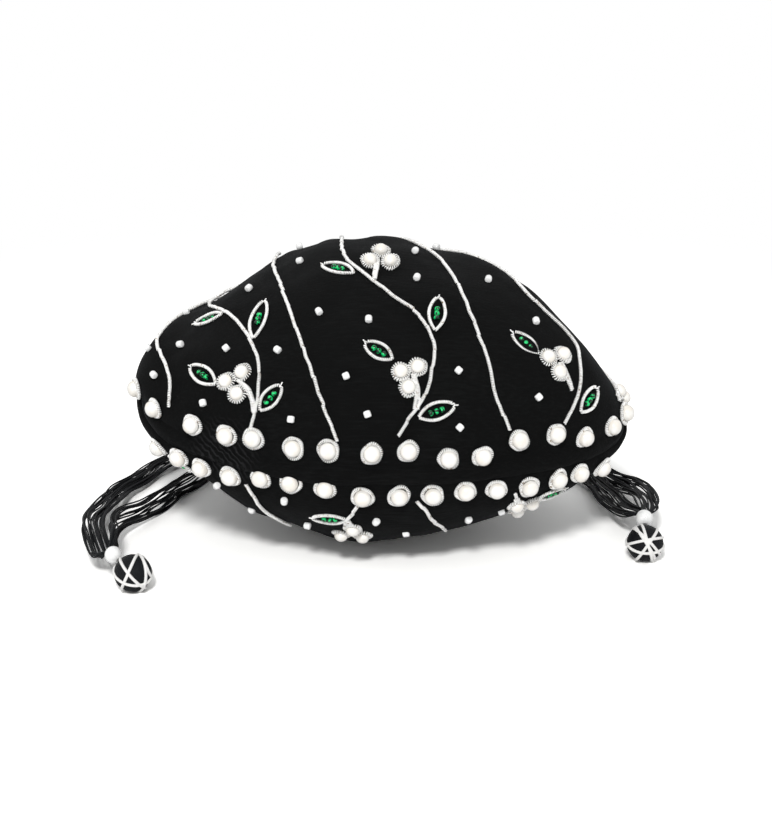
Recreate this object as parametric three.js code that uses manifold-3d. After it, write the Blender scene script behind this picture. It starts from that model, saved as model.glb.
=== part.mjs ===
// A velvet potli bag: a stuffed drawstring pouch that lies on its back panel.
// Millimetres, +Z up, floor at z = 0. The bottom fold faces -Y and the gathered mouth faces +Y.
import * as THREE from 'three';
import { ParametricGeometry } from 'three/addons/geometries/ParametricGeometry.js';
import { mergeVertices } from 'three/addons/utils/BufferGeometryUtils.js';
import Module from 'manifold-3d';

const wasm = await Module();
wasm.setup();

// The stuffed pouch, measured on the outside of the velvet
const halfWidth = 91;
const middleX = -1;
const foldY = -91;
const foldHeight = 44;
const foldRoundness = 57;
const endHeight = 50;
const endTilt = 6;
const crestRise = 57;
const bellyDrop = 35;
const sideSwell = 13;
const crestPower = 0.72;
const bellyPower = 1.3;

// Soft lumps of the stuffing across the top and the underside, left end first
const crestSwells = [6.5, -10.5, -6, -1.5, 0.5, 10.5, 0.5];
const bellySwells = [-8, -11, 0, 4, 2, 8.5, 6];
const firstSwell = -0.9;
const swellSpacing = 0.3;

// How far the cloth's columns crowd towards the two ends, where it bends most
const endCrowding = 0.25;

// The plain velvet band between the two rows of pearls
const bandHalfMiddle = 3.5;
const bandHalfEnd = 5.7;
const bandBulge = 2.5;
const bandEndPower = 3;

// Cloth
const velvetThickness = 1.6;
const liningThickness = 0.7;
const fitClearance = 0.35;
const seatClearance = 0.3;

// The gathered neck, the drawstring channel and the frill beyond it
const neckX = -24;
const neckY = 57;
const neckHeight = 42;
const neckHalfWidth = 19;
const neckHalfHeight = 14;
const pleatCount = 10;
const pleatStart = 0.55;
const bodyPleatDepth = 1.8;
const channelPleatDepth = 0.5;
const frillPleatDepth = 4.5;
const channelLength = 16;
const channelRamp = 3.5;
const channelSlack = 1.5;
const frillLength = 15;
const frillFlareX = 15;
const frillFlareZ = 12;
const frillFlarePower = 1.3;
const liningSetback = 1.5;

// Drawstrings: a skein of fine threads, pressed thin in the channel and loose outside it
const channelCordDiameter = 3;
const channelCordSpacing = 4.2;
const buttonholeEase = 0.8;
const buttonholeBend = 14;
const skeinDiameter = 5;
const skeinSpacing = 5.3;
const beadDiameter = 7;
const beadBore = 1.8;
const ballDiameter = 14;

// Pearl buttons, each a pearl in a ring of coiled wire
const pearlDiameter = 6;
const ringDiameter = 8.8;
const ringWire = 1.9;

// The two rows of buttons, from left to right: the angle and the run of each, sewn on by hand
const topPearls = [
  [168, 0.083], [154, 0.05], [137.5, 0.05], [127, 0.043], [119.7, 0.046], [110, 0.035], [102, 0.035],
  [92.5, 0.03], [84.5, 0.035], [75.5, 0.015], [67.5, 0.015], [58.5, 0.04], [48, 0.04], [37.5, 0.018],
  [24.5, 0.03], [15, 0.075],
];
const bottomPearls = [
  [208.5, 0.1], [217, 0.055], [225, 0.045], [233.5, 0.03], [241.5, 0.005], [249, 0.007], [257, 0.013],
  [265.5, 0.035], [273.5, 0.03], [281, 0.033], [288.5, 0.03], [296, 0.037], [304.5, 0.05], [313, 0.045],
  [320.5, 0.048], [330, 0.09],
];

// Wire embroidery
const braidWidth = 2;
const leafWidth = 4.6;
const leafHeight = 2.4;
const flowerPearlDiameter = 4.5;
const flowerRingDiameter = 6.8;
const flowerSpread = 3.6;
const sunkDepth = 0.8;
const braidLift = 0.8;

// The smallest piece of trim that is kept where the velvet cuts it, in cubic millimetres
const smallestPiece = 0.5;

// How finely round things are drawn
const cordSides = 8;
const channelCordSteps = 22;
const skeinSteps = 26;
const ballSides = 14;
const beadSides = 10;
const beadArcPoints = 7;
const buttonSides = 8;
const braidSides = 5;
const topBraidSteps = 26;
const topVineSteps = 34;
const bottomTrimSteps = 6;
const stalkSteps = 6;
const leafSides = 6;

const velvet = new THREE.MeshStandardMaterial({ color: 0x0b0b0d, roughness: 0.95, metalness: 0 });
const satin = new THREE.MeshStandardMaterial({ color: 0x16161a, roughness: 0.55, metalness: 0 });
const thread = new THREE.MeshStandardMaterial({ color: 0x121316, roughness: 0.7, metalness: 0 });
const pearl = new THREE.MeshStandardMaterial({ color: 0xf2eee6, roughness: 0.25, metalness: 0 });
const silver = new THREE.MeshStandardMaterial({ color: 0xd6d2ca, roughness: 0.35, metalness: 1 });

const columns = pleatCount * 4;
const channelBulge = channelCordDiameter + channelSlack;
const bodyStations = [-1, 0, 0.05, 0.13, 0.23, 0.35, 0.48, 0.61, 0.75, 0.88, 1];
const channelStations = [channelRamp, channelLength - channelRamp, channelLength].map((past) => 1 + past);
const frillSteps = [0.35, 0.7].map((share) => share * frillLength);

const radians = THREE.MathUtils.degToRad;

// The pouch is measured round its girth by an angle: 0 at the right end, 90 degrees on the top panel's
// middle line, 180 at the left end. A turn is the same way round, in even columns of cloth.
const angleOf = (turn) => turn - endCrowding * Math.sin(2 * turn);

function turnOf(angle) {
  let turn = angle;
  for (let i = 0; i < 20; i += 1) turn = angle + endCrowding * Math.sin(2 * turn);
  return turn;
}

// The height of the stuffing's lumps at a place across the pouch, from -1 at the left to 1 at the right.
function swellAt(swells, place) {
  return swells.reduce((sum, height, i) => {
    const away = Math.abs(place - (firstSwell + i * swellSpacing)) / swellSpacing;
    return sum + (away < 1 ? (height * (1 + Math.cos(Math.PI * away))) / 2 : 0);
  }, 0);
}

// A point of the gathered mouth, a distance past the neck.
function mouthPoint(turn, past, inset, bulge) {
  const angle = angleOf(turn);
  const ramp = Math.min(past, channelLength - past) / channelRamp;
  const channel = bulge * THREE.MathUtils.clamp(ramp, 0, 1);
  const frill = Math.max(0, (past - channelLength) / frillLength);
  const pleatDepth = THREE.MathUtils.lerp(channelPleatDepth, frillPleatDepth, frill);
  const pleat = pleatDepth * Math.cos(pleatCount * turn);
  const flare = frill ** frillFlarePower;
  const radiusX = neckHalfWidth + channel + frillFlareX * flare + pleat - inset;
  const radiusZ = neckHalfHeight + channel + frillFlareZ * flare + pleat - inset;
  return new THREE.Vector3(
    neckX + radiusX * Math.cos(angle),
    neckY + past,
    neckHeight + radiusZ * Math.sin(angle),
  );
}

// A point of the cloth, an inset inside the velvet's outer face. The station is -1 on the middle of the
// band, 0 at its edge, 1 at the neck, and then 1 plus the distance past the neck.
function clothPoint(turn, station, inset, bulge) {
  if (station > 1) return mouthPoint(turn, station - 1, inset, bulge);
  const across = Math.cos(angleOf(turn));
  const lift = Math.sin(angleOf(turn));
  const openness = Math.abs(lift);
  const run = Math.max(station, 0);
  const band = 1 + Math.min(station, 0);
  const gather = (1 - Math.cos(Math.PI * run)) / 2;
  const fullness = Math.sin(Math.PI * run);
  const place = 1 - (2 * Math.acos(THREE.MathUtils.clamp(across, -1, 1))) / Math.PI;
  const bandEdge = bandHalfMiddle + (bandHalfEnd - bandHalfMiddle) * Math.abs(across) ** bandEndPower - inset;
  const crest = (crestRise + swellAt(crestSwells, place) - inset) * openness ** crestPower;
  const belly = (bellyDrop + swellAt(bellySwells, place) - inset) * openness ** bellyPower;
  const foldEndX = middleX + (halfWidth - inset) * across;
  const foldFrontY = foldY + inset + foldRoundness * (1 - openness) - bandBulge * (1 - band * band);
  const foldMiddleZ = THREE.MathUtils.lerp(endHeight - endTilt * across, foldHeight, openness);
  const foldZ = foldMiddleZ + Math.sign(lift) * bandEdge * Math.sqrt(openness) * band;
  const pleated = THREE.MathUtils.clamp((run - pleatStart) / (1 - pleatStart), 0, 1);
  const pleatDepth = channelPleatDepth * pleated ** 2 + bodyPleatDepth * Math.sin(Math.PI * pleated);
  const pleat = pleatDepth * Math.cos(pleatCount * turn);
  const x = THREE.MathUtils.lerp(foldEndX, neckX + (neckHalfWidth - inset) * across, gather);
  const y = THREE.MathUtils.lerp(foldFrontY, neckY, gather);
  const z = THREE.MathUtils.lerp(foldZ, neckHeight + (neckHalfHeight - inset) * lift, gather);
  return new THREE.Vector3(
    x + sideSwell * across * fullness + pleat * across,
    y,
    Math.max(z + (lift > 0 ? crest : -belly) * fullness + pleat * lift, inset),
  );
}

// Folds each facet of a net of cloth along the shorter diagonal of the velvet there, so that the layers
// that lie on each other bend alike.
function foldFacets(geometry, stations) {
  const index = geometry.getIndex();
  const velvetAt = (corner) => {
    const turn = 2 * Math.PI * (1 - (corner % (columns + 1)) / columns);
    return clothPoint(turn, stations[Math.floor(corner / (columns + 1))], 0, 0);
  };
  for (let i = 0; i < index.count; i += 6) {
    const [a, b, d, , c] = index.array.slice(i, i + 6);
    const straight = velvetAt(a).distanceTo(velvetAt(c));
    const crossed = velvetAt(b).distanceTo(velvetAt(d));
    if (straight < crossed) index.array.set([a, b, c, a, c, d], i);
  }
  return geometry;
}

// A closed layer of cloth: its outer face from the fold to the rim of the frill, and its inner face back.
function clothLayer(outerInset, thickness, frillReach, bulge) {
  const frillStations = [...frillSteps, frillReach].map((past) => 1 + channelLength + past);
  const stations = [...bodyStations, ...channelStations, ...frillStations];
  const rows = [
    ...stations.map((station) => [station, outerInset]),
    ...stations.toReversed().map((station) => [station, outerInset + thickness]),
  ];
  const net = new ParametricGeometry((u, v, target) => {
    const [station, inset] = rows[Math.round(v * (rows.length - 1))];
    target.copy(clothPoint(2 * Math.PI * (1 - u), station, inset, bulge));
  }, columns, rows.length - 1);
  return foldFacets(net, rows.map(([station]) => station));
}

// A point of the velvet's outer face between the cloth's columns and stations.
function velvetPoint(turn, run) {
  const column = (turn / (2 * Math.PI)) * columns;
  const left = Math.floor(column);
  const next = Math.max(2, bodyStations.findIndex((station) => station > run));
  const [before, after] = [bodyStations[next - 1], bodyStations[next]];
  const along = (run - before) / (after - before);
  const corner = (i, station) => clothPoint((2 * Math.PI * i) / columns, station, 0, 0);
  const near = corner(left, before).lerp(corner(left + 1, before), column - left);
  const far = corner(left, after).lerp(corner(left + 1, after), column - left);
  return near.lerp(far, along);
}

// The same point for an angle in degrees, with the way that the velvet faces there.
function velvetFrame(degrees, run) {
  const turn = turnOf(radians(degrees));
  const turnStep = Math.PI / columns;
  const runStep = 0.015;
  const at = (turnBy, runBy) => velvetPoint(turn + turnBy, run + runBy);
  const normal = at(0, runStep).sub(at(0, -runStep)).cross(at(turnStep, 0).sub(at(-turnStep, 0)));
  return { point: at(0, 0), normal: normal.normalize() };
}

function raisedPoint([degrees, run], height) {
  const { point, normal } = velvetFrame(degrees, run);
  return point.addScaledVector(normal, height);
}

function solidOf(geometry) {
  const bare = geometry.clone();
  bare.deleteAttribute('normal');
  bare.deleteAttribute('uv');
  const merged = mergeVertices(bare, 1e-4);
  return new wasm.Manifold(new wasm.Mesh({
    numProp: 3,
    vertProperties: merged.attributes.position.array,
    triVerts: new Uint32Array(merged.index.array),
  }));
}

function geometryOf(solid) {
  const { vertProperties, triVerts, numProp } = solid.getMesh();
  const positions = new Float32Array((vertProperties.length / numProp) * 3);
  for (let i = 0; i < positions.length / 3; i += 1) {
    positions.set(vertProperties.subarray(i * numProp, i * numProp + 3), i * 3);
  }
  const geometry = new THREE.BufferGeometry();
  geometry.setAttribute('position', new THREE.BufferAttribute(positions, 3));
  geometry.setIndex(new THREE.BufferAttribute(triVerts, 1));
  geometry.computeVertexNormals();
  return geometry;
}

function roundSection(diameter, sides) {
  const corners = Array.from({ length: sides }, (_, i) => {
    const turn = (2 * Math.PI * i) / sides;
    return new THREE.Vector2(Math.cos(turn), Math.sin(turn)).multiplyScalar(diameter / 2);
  });
  return new THREE.Shape(corners);
}

function tubeAlong(curve, diameter, sides, steps) {
  return new THREE.ExtrudeGeometry(roundSection(diameter, sides), {
    steps,
    extrudePath: curve,
    bevelEnabled: false,
  });
}

// Places a piece made about its own +Y axis, with that axis along a direction.
function standOn(geometry, point, direction) {
  const turn = new THREE.Quaternion().setFromUnitVectors(new THREE.Vector3(0, 1, 0), direction);
  return geometry.applyQuaternion(turn).translate(point.x, point.y, point.z);
}

// The velvet shell, with a buttonhole for each drawstring in the wall of its channel.
const channelReach = neckHalfWidth + channelBulge + channelPleatDepth;
const ringReachX = neckHalfWidth + (channelBulge - fitClearance) / 2 - velvetThickness;
const ringReachZ = ringReachX - neckHalfWidth + neckHalfHeight;
const drawstrings = [
  { side: 'left', way: -1, y: neckY + (channelLength - channelCordSpacing) / 2 },
  { side: 'right', way: 1, y: neckY + (channelLength + channelCordSpacing) / 2 },
];

function buttonhole({ way, y }) {
  const depth = channelReach - ringReachX + 1;
  const width = channelCordDiameter + 2 * fitClearance;
  const height = skeinSpacing + channelCordDiameter + 2 * buttonholeEase;
  const cutter = new THREE.BoxGeometry(depth, width, height);
  cutter.translate(neckX + way * (ringReachX + depth / 2), y, neckHeight);
  return solidOf(cutter);
}

function velvetShell() {
  const shell = solidOf(clothLayer(0, velvetThickness, frillLength, channelBulge));
  return geometryOf(drawstrings.reduce((solid, cord) => solid.subtract(buttonhole(cord)), shell));
}

function lining() {
  return clothLayer(velvetThickness + fitClearance, liningThickness, frillLength - liningSetback, 0);
}

// One drawstring inside the channel: once round the neck, with both ends out of its buttonhole.
function channelCord({ way, y }) {
  const at = (x, z) => new THREE.Vector3(neckX + way * x, y, neckHeight + z);
  const half = skeinSpacing / 2;
  const bend = Math.asin(half / ringReachZ) + radians(buttonholeBend);
  const loopPoints = 17;
  const loop = Array.from({ length: loopPoints }, (_, i) => {
    const angle = THREE.MathUtils.lerp(bend, 2 * Math.PI - bend, i / (loopPoints - 1));
    return at(ringReachX * Math.cos(angle), ringReachZ * Math.sin(angle));
  });
  const mouth = [channelReach, channelReach - channelCordDiameter];
  const points = [
    ...mouth.map((x) => at(x, half)),
    ...loop,
    ...mouth.toReversed().map((x) => at(x, -half)),
  ];
  const curve = new THREE.CatmullRomCurve3(points, false, 'centripetal');
  return tubeAlong(curve, channelCordDiameter, cordSides, channelCordSteps);
}

// The end of each drawstring: a ball on the floor, a bead on it, and two skeins that run back from it.
const tassels = [
  {
    ball: new THREE.Vector3(-91, -91.4, ballDiameter / 2),
    beadWay: new THREE.Vector3(-0.62, 0.54, 0.57).normalize(),
    skeinWay: new THREE.Vector3(-0.5, 0.86, -0.05).normalize(),
    firstSide: -1,
    routes: {
      a: [[-61.5, 62, 39], [-67, 59.5, 25], [-71, 55, 11], [-78, 47, 4.5], [-87, 36, 3.4],
        [-95.3, 23.6, 3.4], [-101, 6.8, 4], [-106.5, -8, 5], [-110.5, -29, 7], [-112, -45, 9],
        [-110.4, -63, 11], [-107, -77, 12.8]],
      b: [[-59, 60.5, 30], [-62, 55, 15], [-65, 47, 6], [-70, 32, 3.4], [-76, 12, 3.4],
        [-82.5, -1, 4], [-88, -18, 5], [-94.3, -31.6, 6], [-100, -44, 8], [-102.8, -60, 10.3],
        [-101.2, -73.5, 12.2]],
    },
  },
  {
    ball: new THREE.Vector3(96.5, -64.7, ballDiameter / 2),
    beadWay: new THREE.Vector3(0.05, 0.8, 0.59).normalize(),
    skeinWay: new THREE.Vector3(0.03, 0.99, -0.08).normalize(),
    firstSide: 1,
    routes: {
      a: [[13.5, 66.5, 39], [18.5, 65.5, 25], [22, 64, 11], [31, 61, 4.2], [46, 54, 3.4],
        [62, 44, 3.4], [76, 31, 3.4], [86, 18, 3.4], [93.5, 6, 4.2], [98, -3, 5.6], [100.3, -15, 8],
        [101, -30, 10.8], [100.6, -43, 12.5]],
      b: [[11, 65, 30], [14, 62, 15], [19, 58, 6], [32, 51, 3.4], [48, 42.5, 3.4],
        [64, 32, 3.4], [76, 18, 3.4], [84, 4, 3.4], [88, -10.7, 5], [91, -23.9, 7], [93.7, -36, 10],
        [94.9, -44.5, 12]],
    },
  },
];

function beadCentre({ ball, beadWay }) {
  return ball.clone().addScaledVector(beadWay, (ballDiameter + beadDiameter) / 2 + seatClearance);
}

function ballGeometry({ ball }) {
  const geometry = new THREE.SphereGeometry(ballDiameter / 2, ballSides, Math.round(ballSides * 0.64));
  return geometry.rotateX(Math.PI / 2).translate(...ball);
}

function beadGeometry(tassel) {
  const radius = beadDiameter / 2;
  const reach = Math.acos(beadBore / 2 / radius);
  const outline = Array.from({ length: beadArcPoints }, (_, i) => {
    const angle = THREE.MathUtils.lerp(-reach, reach, i / (beadArcPoints - 1));
    return new THREE.Vector2(radius * Math.cos(angle), radius * Math.sin(angle));
  });
  outline.push(outline[0].clone());
  return standOn(new THREE.LatheGeometry(outline, beadSides), beadCentre(tassel), tassel.beadWay);
}

function skeinGeometry(tassel, drawstring, letter) {
  const upper = letter === 'a' ? 1 : -1;
  const exitHeight = neckHeight + (upper * skeinSpacing) / 2;
  const exit = [channelReach + seatClearance, channelReach + skeinDiameter].map((reach) => (
    new THREE.Vector3(neckX + drawstring.way * reach, drawstring.y, exitHeight)
  ));
  const sideways = tassel.skeinWay.clone().cross(new THREE.Vector3(0, 0, 1)).normalize();
  const end = beadCentre(tassel)
    .addScaledVector(tassel.skeinWay, beadDiameter / 2 + seatClearance)
    .addScaledVector(sideways, (upper * tassel.firstSide * skeinSpacing) / 2);
  const route = tassel.routes[letter].map((place) => new THREE.Vector3(...place));
  const curve = new THREE.CatmullRomCurve3([...exit, ...route, end], false, 'centripetal');
  return tubeAlong(curve, skeinDiameter, cordSides, skeinSteps);
}

// The stuffed body grown by the seat clearance and closed across its neck.
function grownBody() {
  const neckCentre = new THREE.Vector3(neckX, neckY, neckHeight);
  const net = new ParametricGeometry((u, v, target) => {
    const station = bodyStations[Math.round(v * bodyStations.length)];
    const isNeck = station === undefined;
    target.copy(isNeck ? neckCentre : clothPoint(2 * Math.PI * (1 - u), station, -seatClearance, 0));
  }, columns, bodyStations.length);
  return foldFacets(net, [...bodyStations, 1]);
}

const seatCutter = solidOf(grownBody());

// Joins the solids of one trim and seats them on the velvet, a clearance above it, without the specks that
// the cut leaves.
function seated(geometries) {
  const solids = geometries.map(solidOf);
  const joined = solids.reduce((sum, solid) => sum.add(solid));
  const pieces = joined.subtract(seatCutter).decompose();
  return geometryOf(wasm.Manifold.compose(pieces.filter((piece) => piece.volume() > smallestPiece)));
}

// A pearl in its ring of coiled wire.
function pearlButton({ point, normal }, pearlWide, ringWide) {
  const ringRadius = ringWide / 2;
  const pearlRadius = pearlWide / 2;
  const pearlSunk = 0.6;
  const top = ringWire * (1 - pearlSunk) + pearlWide;
  const shoulder = radians(33);
  const outline = [
    new THREE.Vector2(0, -sunkDepth),
    new THREE.Vector2(ringRadius, -sunkDepth),
    new THREE.Vector2(ringRadius, ringWire * pearlSunk),
    new THREE.Vector2(pearlRadius, ringWire),
    new THREE.Vector2(pearlRadius * Math.cos(shoulder), top - pearlRadius * (1 - Math.sin(shoulder))),
    new THREE.Vector2(0, top),
  ];
  return standOn(new THREE.LatheGeometry(outline, buttonSides), point, normal);
}

function pearlRow(places) {
  return places.map(([degrees, run]) => (
    seated([pearlButton(velvetFrame(degrees, run), pearlDiameter, ringDiameter)])
  ));
}

function braid(places, steps) {
  const runScale = 150;
  const plan = new THREE.CatmullRomCurve3(
    places.map(([degrees, run]) => new THREE.Vector3(degrees, run * runScale, 0)),
  );
  const points = plan.getPoints(steps).map(({ x, y }) => raisedPoint([x, y / runScale], braidLift));
  return tubeAlong(new THREE.CatmullRomCurve3(points), braidWidth, braidSides, steps);
}

function leaf(from, to) {
  const base = raisedPoint(from, braidLift);
  const tip = raisedPoint(to, braidLift);
  const along = tip.clone().sub(base);
  const middle = [(from[0] + to[0]) / 2, (from[1] + to[1]) / 2];
  const sideways = along.clone().cross(velvetFrame(...middle).normal).normalize();
  const up = sideways.clone().cross(along).normalize();
  const turn = new THREE.Matrix4().makeBasis(sideways, along.clone().normalize(), up);
  const geometry = new THREE.SphereGeometry(0.5, leafSides, 4);
  geometry.scale(leafWidth, along.length(), 2 * leafHeight).applyMatrix4(turn);
  return geometry.translate(...base.lerp(tip, 0.5));
}

// Three pearls round the end of a stalk.
function flower(from, centre) {
  const { point, normal } = velvetFrame(...centre);
  const spoke = new THREE.Vector3(0, 0, 1).projectOnPlane(normal).setLength(flowerSpread);
  const pearls = [0, 1, 2].map((i) => {
    const reach = spoke.clone().applyAxisAngle(normal, (2 * Math.PI * i) / 3);
    return pearlButton({ point: reach.add(point), normal }, flowerPearlDiameter, flowerRingDiameter);
  });
  return [braid([from, centre], stalkSteps), ...pearls];
}

function vine({ stem, leaves = [], flowers = [] }, steps) {
  return seated([
    braid(stem, steps),
    ...leaves.map(({ from, to }) => leaf(from, to)),
    ...flowers.flatMap(({ from, centre }) => flower(from, centre)),
  ]);
}

const topBraids = [
  {
    stem: [[146, 0.11], [145, 0.168], [150, 0.24], [158, 0.305], [159.5, 0.378], [157, 0.45],
      [152, 0.54], [148, 0.64]],
  },
  {
    stem: [[101.7, 0.086], [104, 0.173], [106.5, 0.25], [109.5, 0.335], [113, 0.427], [117, 0.525],
      [118, 0.65]],
  },
  {
    stem: [[61, 0.085], [64, 0.133], [64.5, 0.193], [65, 0.263], [65, 0.325], [64.5, 0.388],
      [63.5, 0.492], [63.5, 0.565], [63, 0.65]],
  },
  { stem: [[17.5, 0.14], [21.5, 0.233], [26, 0.34], [30, 0.47], [33, 0.64]] },
];

const topVines = [
  {
    stem: [[119, 0.094], [118, 0.113], [117.5, 0.155], [117.5, 0.223], [119.5, 0.265], [124, 0.325],
      [132, 0.39], [139, 0.44], [143, 0.5], [141, 0.57], [137, 0.65]],
    leaves: [
      { from: [132, 0.39], to: [143, 0.372] },
      { from: [119.5, 0.265], to: [116.5, 0.372] },
      { from: [122.5, 0.178], to: [137.5, 0.22] },
      { from: [118, 0.113], to: [112, 0.168] },
    ],
    flowers: [{ from: [118, 0.113], centre: [122.5, 0.178] }],
  },
  {
    stem: [[86.5, 0.086], [84, 0.104], [80.5, 0.138], [78, 0.188], [76.5, 0.228], [77, 0.26],
      [78.5, 0.3], [83.5, 0.345], [87.5, 0.385], [92, 0.435], [93.5, 0.487], [92, 0.56], [90, 0.65]],
    leaves: [
      { from: [92, 0.435], to: [100, 0.455] },
      { from: [77, 0.26], to: [71.5, 0.338] },
      { from: [83.3, 0.182], to: [92.5, 0.245] },
      { from: [84, 0.104], to: [74, 0.12] },
    ],
    flowers: [
      { from: [82, 0.122], centre: [83.3, 0.182] },
      { from: [87.5, 0.385], centre: [83, 0.463] },
    ],
  },
  {
    stem: [[44.3, 0.09], [40.5, 0.122], [37.5, 0.185], [35.5, 0.24], [37, 0.275], [40.5, 0.31],
      [43, 0.37], [40.5, 0.45], [42, 0.49], [44, 0.56], [46, 0.65]],
    leaves: [
      { from: [45.5, 0.197], to: [55.5, 0.268] },
      { from: [40.5, 0.122], to: [32, 0.14] },
    ],
    flowers: [{ from: [40.5, 0.122], centre: [45.5, 0.197] }],
  },
];

// The underside shows only as far back as the daylight under the fold.
const bottomBraids = [{ stem: [[238, 0.1], [243.5, 0.18], [247, 0.25]] }];

const bottomVines = [
  {
    stem: [[264.5, 0.115], [262.5, 0.15], [263.5, 0.18]],
    leaves: [{ from: [262.5, 0.15], to: [255, 0.15] }],
    flowers: [{ from: [263.5, 0.18], centre: [264.5, 0.22] }],
  },
  { stem: [[277.5, 0.09], [281, 0.13], [285.5, 0.21]] },
  {
    stem: [[300.5, 0.11], [302, 0.13], [304, 0.18]],
    leaves: [{ from: [302, 0.13], to: [313, 0.125] }],
    flowers: [{ from: [302, 0.13], centre: [304.5, 0.16] }],
  },
];

const group = new THREE.Group();

function addMesh(name, geometry, material) {
  const mesh = new THREE.Mesh(geometry, material.clone());
  mesh.name = name;
  group.add(mesh);
}

addMesh('bag_shell', velvetShell(), velvet);
addMesh('bag_lining', lining(), satin);

drawstrings.forEach((drawstring, i) => {
  const tassel = tassels[i];
  const { side } = drawstring;
  addMesh(`channel_cord_${side}`, channelCord(drawstring), thread);
  addMesh(`drawstring_${side}_a`, skeinGeometry(tassel, drawstring, 'a'), thread);
  addMesh(`drawstring_${side}_b`, skeinGeometry(tassel, drawstring, 'b'), thread);
  addMesh(`tassel_bead_${side}`, beadGeometry(tassel), pearl);
  addMesh(`tassel_ball_${side}`, ballGeometry(tassel), thread);
});

const rowNames = { pearl_top: topPearls, pearl_bottom: bottomPearls };
Object.entries(rowNames).forEach(([name, places]) => {
  pearlRow(places).forEach((geometry, i) => {
    addMesh(`${name}_${String(i + 1).padStart(2, '0')}`, geometry, pearl);
  });
});

function addTrims(name, plans, steps) {
  plans.forEach((plan, i) => addMesh(`${name}_${i + 1}`, vine(plan, steps), silver));
}

addTrims('braid_top', topBraids, topBraidSteps);
addTrims('braid_bottom', bottomBraids, bottomTrimSteps);
addTrims('vine_top', topVines, topVineSteps);
addTrims('vine_bottom', bottomVines, bottomTrimSteps);

// Puts the origin on the floor, under the middle of the bag without its free drawstrings.
const bagBox = new THREE.Box3();
group.children.forEach((mesh) => {
  if (!/^(drawstring|tassel)_/.test(mesh.name)) bagBox.expandByObject(mesh, true);
});
const bagMiddle = bagBox.getCenter(new THREE.Vector3());
group.children.forEach((mesh) => mesh.geometry.translate(-bagMiddle.x, -bagMiddle.y, 0));

export default group;
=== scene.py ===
# A stuffed velvet potli bag that lies on its back panel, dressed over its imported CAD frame.
# Places on the bag are in millimetres until onFrame() turns them into metres on the frame.
import bmesh
import bpy
import math
import random
from mathutils import Matrix, Quaternion, Vector, noise


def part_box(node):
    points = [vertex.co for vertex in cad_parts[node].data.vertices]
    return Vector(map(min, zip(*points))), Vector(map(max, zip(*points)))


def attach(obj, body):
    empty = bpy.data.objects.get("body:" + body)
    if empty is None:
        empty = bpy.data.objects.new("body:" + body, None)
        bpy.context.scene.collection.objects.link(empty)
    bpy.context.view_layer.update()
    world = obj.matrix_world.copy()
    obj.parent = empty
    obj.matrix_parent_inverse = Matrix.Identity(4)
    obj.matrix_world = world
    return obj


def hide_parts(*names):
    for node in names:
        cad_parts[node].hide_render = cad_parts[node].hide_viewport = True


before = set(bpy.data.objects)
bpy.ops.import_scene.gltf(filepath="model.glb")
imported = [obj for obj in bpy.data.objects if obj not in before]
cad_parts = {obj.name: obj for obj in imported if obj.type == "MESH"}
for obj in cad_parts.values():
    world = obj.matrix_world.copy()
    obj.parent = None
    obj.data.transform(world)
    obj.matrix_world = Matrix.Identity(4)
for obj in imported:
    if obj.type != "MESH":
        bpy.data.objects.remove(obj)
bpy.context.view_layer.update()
seeded = random.Random(11)

# the pouch as it lies, outside of the velvet
pouch = {
    "halfWidth": 91, "middleX": -1, "foldY": -91, "foldHeight": 44, "foldRoundness": 57,
    "endHeight": 50, "endTilt": 6, "crestRise": 57, "bellyDrop": 35, "sideSwell": 13,
    "crestPower": 0.72, "bellyPower": 1.3, "endCrowding": 0.25,
    "crestSwells": [6.5, -10.5, -6, -1.5, 0.5, 10.5, 0.5],
    "bellySwells": [-8, -11, 0, 4, 2, 8.5, 6], "firstSwell": -0.9, "swellSpacing": 0.3,
    "bandHalfMiddle": 3.5, "bandHalfEnd": 5.7, "bandBulge": 2.5, "bandEndPower": 3,
}

# the gathered neck, the drawstring channel and the frill
mouth = {
    "x": -24, "y": 57, "height": 42, "halfWidth": 19, "halfHeight": 14, "pleats": 10,
    "pleatStart": 0.55, "bodyPleat": 1.8, "channelPleat": 0.5, "frillPleat": 4.5,
    "channelLength": 16, "channelRamp": 3.5, "channelBulge": 4.5, "cordsApart": 4.2,
    "frillLength": 15, "frillFlareX": 15, "frillFlareZ": 12, "frillFlarePower": 1.3,
}
ballPlaces = {"left": (-91, -91.4, 7), "right": (96.5, -64.7, 7)}

# from the pouch's own middle to the frame's origin, read off the left ball
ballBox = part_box("tassel_ball_left")
frameShift = [(ballBox[0][axis] + ballBox[1][axis]) * 500 - ballPlaces["left"][axis] for axis in (0, 1)]


def onFrame(point):
    return Vector(((point[0] + frameShift[0]) / 1000, (point[1] + frameShift[1]) / 1000, point[2] / 1000))


def linked(name, data):
    made = bpy.data.objects.new(name, data)
    bpy.context.collection.objects.link(made)
    return made


view = {"target": (0, -17, 40), "distance": 750, "elevation": 20, "lens": 83.2}


def makeCamera():
    data = bpy.data.cameras.new("photoCamera")
    data.lens = view["lens"]
    data.clip_end = 20
    camera = linked("photoCamera", data)
    lift = math.radians(view["elevation"])
    away = Vector((0, -math.cos(lift), math.sin(lift))) * view["distance"] / 1000
    camera.location = onFrame(view["target"]) + away
    camera.rotation_euler = (-away).to_track_quat("-Z", "Y").to_euler()
    bpy.context.scene.camera = camera


makeCamera()


class Socket:
    def __init__(self, finish, output):
        self.finish = finish
        self.output = output

    def worked(self, operation, first, second):
        return self.finish.node("ShaderNodeMath", {"operation": operation}, {0: first, 1: second})

    def __add__(self, other):
        return self.worked("ADD", self, other)

    def __rsub__(self, other):
        return self.worked("SUBTRACT", other, self)

    def __mul__(self, other):
        return self.worked("MULTIPLY", self, other)

    __radd__ = __add__
    __rmul__ = __mul__


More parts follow.
